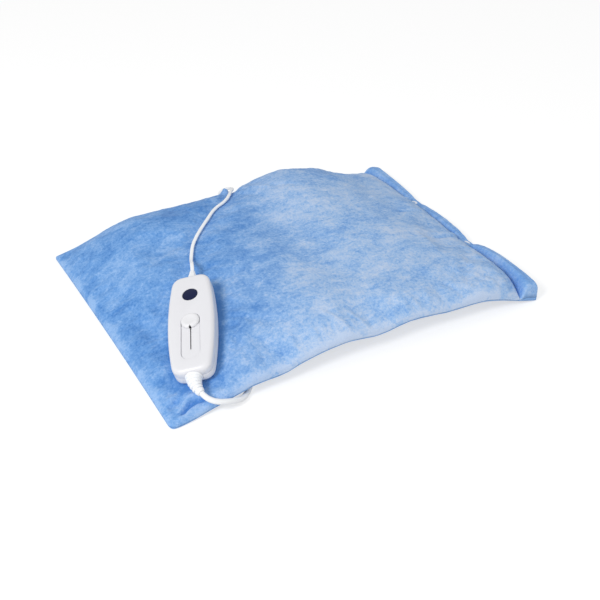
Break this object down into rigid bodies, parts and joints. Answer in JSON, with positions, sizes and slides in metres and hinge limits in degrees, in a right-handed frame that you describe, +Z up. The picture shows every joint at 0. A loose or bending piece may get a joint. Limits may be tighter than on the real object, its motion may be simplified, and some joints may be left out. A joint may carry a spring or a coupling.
{
  "type": "heating pad with controller",
  "caption": "Plush-covered electric heating pad lying arched, with a snap closure along one short side, a slide controller on a thin cord, and a coiled mains lead with a plug.",
  "frame": {"origin": "on the floor below the middle of the pad, cords, coil and plug left out", "axes": "+X along the long side towards the snap closure, +Y towards the back edge where the thin cord enters, +Z up"},
  "size_m": [0.45, 0.364, 0.0666],
  "materials": {
    "plush": "soft micro-plush pile",
    "hem_plush": "doubled micro-plush hem",
    "quilt": "quilted heater fabric",
    "wire": "insulated wire",
    "white_gloss": "smooth moulded, satin gloss",
    "white_soft": "flexible vinyl, satin",
    "lens_blue": "polished dark window",
    "led_red": "clear red",
    "board": "coated laminate",
    "black_plastic": "moulded",
    "steel": "plated",
    "pin_metal": "nickel-plated brass"
  },
  "bodies": {
    "pad": {"cover_top": "plush", "cover_bottom": "plush", "closure_band": "hem_plush", "inner_pad_top": "quilt", "inner_pad_bottom": "quilt", "heating_wire": "wire", "thermal_cutout_1": "white_soft", "thermal_cutout_2": "white_soft", "cord_sleeve": "white_soft", "pad_junction": "white_soft", "case_top": "white_gloss", "case_bottom": "white_gloss", "case_screw_1": "steel", "case_screw_2": "steel", "case_screw_3": "steel", "case_screw_4": "steel", "indicator_lens": "lens_blue", "indicator_led": "led_red", "circuit_board": "board", "slide_switch_body": "black_plastic", "thyristor": "black_plastic", "capacitor": "board", "fuse": "white_soft", "pad_terminal": "white_soft", "mains_terminal": "white_soft", "pad_lead": "wire", "mains_lead": "wire", "strain_relief_pad": "white_soft", "strain_relief_mains": "white_soft", "mains_coil": "white_soft", "coil_tie": "black_plastic", "plug_body": "white_soft", "plug_pin_1": "pin_metal", "plug_pin_2": "pin_metal", "plug_relief": "white_soft", "pad_cord": "white_soft", "mains_cord": "white_soft", "plug_cord": "white_soft", "snap_1_cap_bottom": "white_gloss", "snap_1_stud": "white_gloss", "snap_2_cap_bottom": "white_gloss", "snap_2_stud": "white_gloss"},
    "slider": {"slider_knob": "white_gloss", "switch_actuator": "black_plastic"},
    "closure_flap": {"closure_flap": "hem_plush", "snap_1_cap_top": "white_gloss", "snap_1_socket": "white_gloss", "snap_2_cap_top": "white_gloss", "snap_2_socket": "white_gloss"}
  },
  "joints": [
    {"name": "heat_slide", "type": "slide", "parent": "pad", "child": "slider", "axis": [-0.4034, -0.8975, -0.1781], "range_m": [0, 0.036]},
    {"name": "closure_flap_hinge", "type": "hinge", "parent": "pad", "child": "closure_flap", "pos_m": [0.1993, 0, 0.0077], "axis": [0, -0.9999, 0.0169], "range_deg": [0, 40]}
  ]
}
